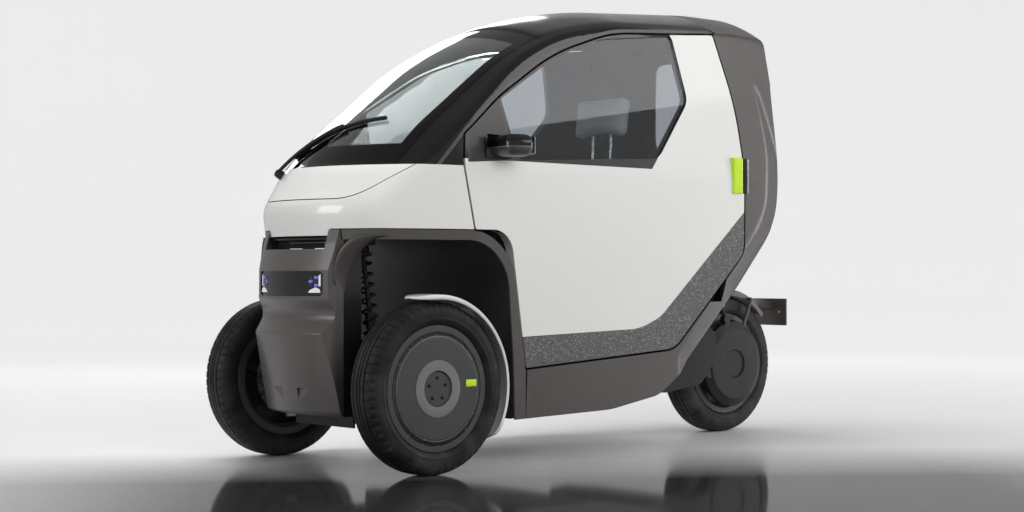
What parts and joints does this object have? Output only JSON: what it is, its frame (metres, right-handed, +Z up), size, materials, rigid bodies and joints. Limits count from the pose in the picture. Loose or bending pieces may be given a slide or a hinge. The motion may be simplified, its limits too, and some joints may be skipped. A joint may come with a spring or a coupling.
{
  "type": "enclosed electric tricycle",
  "caption": "Narrow enclosed electric tricycle with two steered front wheels, one driven rear wheel, front-hinged doors, wrap-round windscreen and seats in line.",
  "frame": {"origin": "on the ground under the middle of the vehicle's length and width", "axes": "+X to the vehicle's left, -Y towards the nose, +Z up"},
  "size_m": [1.0354, 2.3034, 1.5517],
  "materials": {
    "body_white": "gloss",
    "trim_grey": "satin",
    "trim_black": "matte",
    "gloss_black": "gloss",
    "speckled_grey": "matte",
    "lime": "gloss",
    "glazing": "clear",
    "black_steel": "satin",
    "alloy": "cast",
    "steel": "machined",
    "wheel_grey": "satin",
    "rubber_tyre": "matte",
    "lamp_clear": "clear",
    "lamp_red": "gloss",
    "seat_cloth": "woven",
    "battery_case": "satin"
  },
  "bodies": {
    "cab": {"arch_bands": "trim_grey", "battery_block": "battery_case", "body_hoops": "trim_grey", "bonnet_panel": "body_white", "chassis_tub": "trim_black", "chin_panel": "trim_grey", "dashboard": "trim_black", "door_hinges": "black_steel", "drive_housing": "black_steel", "driver_seat": "seat_cloth", "floor_panel": "trim_black", "front_fascia": "trim_grey", "front_shell": "body_white", "front_struts": "black_steel", "front_subframe": "black_steel", "headlamp_bar": "gloss_black", "headlamps": "lamp_clear", "passenger_seat": "seat_cloth", "rain_rails": "trim_grey", "rear_mudguard": "trim_grey", "rear_panel": "gloss_black", "rear_spoiler": "gloss_black", "rear_strut": "black_steel", "rear_undertray": "trim_black", "rear_window": "glazing", "roof_panel": "gloss_black", "roof_pillars": "gloss_black", "seat_stand": "trim_black", "swing_arm": "black_steel", "tail_housing": "trim_black", "tail_lamps": "lamp_red", "wheel_well_liner": "trim_black", "windscreen": "glazing", "wiper": "black_steel", "wishbones": "black_steel"},
    "left_door_leaf": {"door_left": "body_white", "door_glass_left": "glazing", "door_stripe_left": "speckled_grey", "door_handle_left": "lime", "mirror_left": "gloss_black"},
    "left_upright": {"knuckle_left": "alloy", "fender_left": "body_white"},
    "left_front_wheel": {"front_tyre_left": "rubber_tyre", "front_wheel_left": "wheel_grey"},
    "right_door_leaf": {"door_right": "body_white", "door_glass_right": "glazing", "door_stripe_right": "speckled_grey", "door_handle_right": "lime", "mirror_right": "gloss_black"},
    "right_upright": {"knuckle_right": "alloy", "fender_right": "body_white"},
    "right_front_wheel": {"front_tyre_right": "rubber_tyre", "front_wheel_right": "wheel_grey"},
    "rack": {"steering_rack": "steel"},
    "hand_wheel": {"steering_wheel": "trim_black"},
    "rear_road_wheel": {"rear_tyre": "rubber_tyre", "rear_wheel": "wheel_grey"}
  },
  "joints": [
    {"name": "front_left_steer", "type": "hinge", "parent": "cab", "child": "left_upright", "pos_m": [0.33, -0.888, 0.258], "axis": [0, 0, 1], "range_deg": [-28, 28]},
    {"name": "front_right_steer", "type": "hinge", "parent": "cab", "child": "right_upright", "pos_m": [-0.33, -0.888, 0.258], "axis": [0, 0, 1], "range_deg": [-28, 28]},
    {"name": "rack_slide", "type": "slide", "parent": "cab", "child": "rack", "axis": [1, 0, 0], "range_m": [-0.0435, 0.0435]},
    {"name": "steering_wheel_turn", "type": "hinge", "parent": "cab", "child": "hand_wheel", "pos_m": [0, -0.545, 0.9], "axis": [0, 0.8232, 0.5677], "range_deg": [-281, 281]},
    {"name": "front_left_spin", "type": "hinge", "parent": "left_upright", "child": "left_front_wheel", "pos_m": [0.388, -0.888, 0.258], "axis": [1, 0, 0], "continuous": true},
    {"name": "front_right_spin", "type": "hinge", "parent": "right_upright", "child": "right_front_wheel", "pos_m": [-0.388, -0.888, 0.258], "axis": [1, 0, 0], "continuous": true},
    {"name": "rear_spin", "type": "hinge", "parent": "cab", "child": "rear_road_wheel", "pos_m": [0, 0.848, 0.258], "axis": [1, 0, 0], "continuous": true},
    {"name": "left_door_swing", "type": "hinge", "parent": "cab", "child": "left_door_leaf", "pos_m": [0.368, -0.765, 0.83], "axis": [0, 0, -1], "range_deg": [0, 65]},
    {"name": "right_door_swing", "type": "hinge", "parent": "cab", "child": "right_door_leaf", "pos_m": [-0.368, -0.765, 0.83], "axis": [0, 0, 1], "range_deg": [0, 65]}
  ],
  "couplings": [
    {"joint": "front_right_steer", "follows": "front_left_steer", "ratio": 1},
    {"joint": "rack_slide", "follows": "front_left_steer", "m_per_rad": -0.0884},
    {"joint": "steering_wheel_turn", "follows": "front_left_steer", "ratio": 10}
  ]
}
